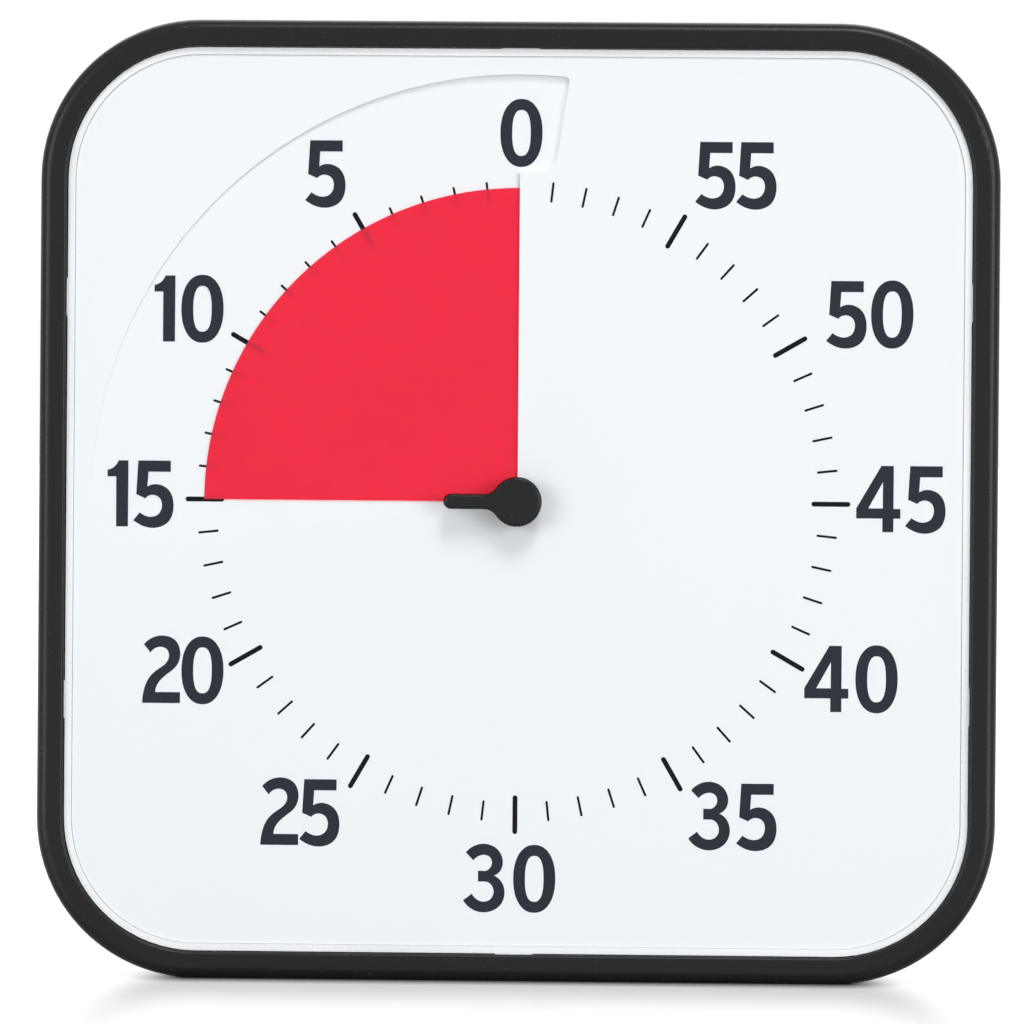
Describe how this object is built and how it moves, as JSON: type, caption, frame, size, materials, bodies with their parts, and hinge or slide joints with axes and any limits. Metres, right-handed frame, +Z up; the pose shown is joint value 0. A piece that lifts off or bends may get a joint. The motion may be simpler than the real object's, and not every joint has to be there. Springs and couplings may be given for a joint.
{
  "type": "visual countdown timer",
  "caption": "Square wall and desk countdown timer with a white dial, a red disc that shrinks as time runs out and a pointer knob in the middle.",
  "frame": {"origin": "middle of the footprint, at the bottom of the case", "axes": "+Z up, +X to the reader's right, the dial faces -Y"},
  "size_m": [0.3048, 0.0444, 0.3048],
  "materials": {
    "case_black": "satin black moulded plastic",
    "tray_white": "satin white moulded plastic",
    "card_white": "smooth printed card",
    "ink": "matt black print",
    "leaf_red": "satin red sheet, slightly see-through",
    "knob_black": "satin black moulded plastic",
    "move_plastic": "black moulded plastic",
    "gear_white": "natural acetal",
    "steel": "plated steel",
    "brass": "turned brass",
    "copper": "enamelled copper winding",
    "board_green": "solder mask",
    "magnet_grey": "ferrite",
    "cell_wrap": "plain printed sleeve",
    "lead_red": "wire insulation"
  },
  "bodies": {
    "case": {"front_bezel": "case_black", "rear_cover": "case_black", "face_tray": "tray_white", "dial_card": "card_white", "dial_ticks": "ink", "dial_numerals": "ink", "movement_case": "move_plastic", "movement_cover": "move_plastic", "movement_screws": "steel", "case_screws": "steel", "shaft_bush": "brass", "bush_nut": "brass", "bush_washer": "steel", "motor_stator": "steel", "motor_coil": "copper", "quartz_board": "board_green", "battery_cell": "cell_wrap", "battery_plate": "steel", "battery_spring": "steel", "battery_leads": "lead_red", "alert_leads": "lead_red", "alert_board": "board_green", "board_screws": "steel", "alert_buzzer": "move_plastic", "switch_body": "steel", "hang_magnets": "magnet_grey", "foot_pins": "steel"},
    "dial": {"pointer_knob": "knob_black", "spindle": "steel", "centre_wheel": "gear_white", "clutch_spring": "brass"},
    "leaf": {"time_leaf": "leaf_red", "leaf_hub": "move_plastic"},
    "third_gear": {"third_wheel": "gear_white", "third_arbor": "steel"},
    "fourth_gear": {"fourth_wheel": "gear_white", "fourth_arbor": "steel"},
    "fifth_gear": {"fifth_wheel": "gear_white", "fifth_arbor": "steel"},
    "rotor": {"rotor_pinion": "gear_white", "rotor_magnet": "magnet_grey", "rotor_arbor": "steel"},
    "left_foot": {"foot_left": "case_black"},
    "right_foot": {"foot_right": "case_black"},
    "door": {"battery_door": "case_black"},
    "alert_switch": {"switch_slider": "tray_white"}
  },
  "joints": [
    {"name": "knob_spin", "type": "hinge", "parent": "case", "child": "dial", "pos_m": [0, 0, 0.1524], "axis": [0, -1, 0], "range_deg": [-90, 270]},
    {"name": "leaf_slide", "type": "slide", "parent": "dial", "child": "leaf", "axis": [0, -1, 0], "range_m": [-0.00095, 0.00285]},
    {"name": "third_spin", "type": "hinge", "parent": "case", "child": "third_gear", "pos_m": [-0.01169, 0, 0.14565], "axis": [0, -1, 0], "range_deg": [-2160, 720]},
    {"name": "fourth_spin", "type": "hinge", "parent": "case", "child": "fourth_gear", "pos_m": [-0.00839, 0, 0.13333], "axis": [0, -1, 0], "range_deg": [-5400, 16200]},
    {"name": "fifth_spin", "type": "hinge", "parent": "case", "child": "fifth_gear", "pos_m": [0.00211, 0, 0.13333], "axis": [0, -1, 0], "range_deg": [-97200, 32400]},
    {"name": "rotor_spin", "type": "hinge", "parent": "case", "child": "rotor", "pos_m": [0.01057, 0, 0.13641], "axis": [0, -1, 0], "range_deg": [-162000, 486000]},
    {"name": "left_foot_fold", "type": "hinge", "parent": "case", "child": "left_foot", "pos_m": [-0.092, 0.01978, 0.009], "axis": [0, 0, 1], "range_deg": [0, 90]},
    {"name": "right_foot_fold", "type": "hinge", "parent": "case", "child": "right_foot", "pos_m": [0.092, 0.01978, 0.009], "axis": [0, 0, -1], "range_deg": [0, 90]},
    {"name": "door_lift", "type": "slide", "parent": "case", "child": "door", "axis": [0, 1, 0], "range_m": [0, 0.03]},
    {"name": "alert_slide", "type": "slide", "parent": "case", "child": "alert_switch", "axis": [1, 0, 0], "range_m": [0, 0.004]}
  ],
  "couplings": [
    {"joint": "leaf_slide", "follows": "knob_spin", "m_per_rad": 0.00060479},
    {"joint": "third_spin", "follows": "knob_spin", "ratio": -8},
    {"joint": "fourth_spin", "follows": "knob_spin", "ratio": 60},
    {"joint": "fifth_spin", "follows": "knob_spin", "ratio": -360},
    {"joint": "rotor_spin", "follows": "knob_spin", "ratio": 1800}
  ]
}
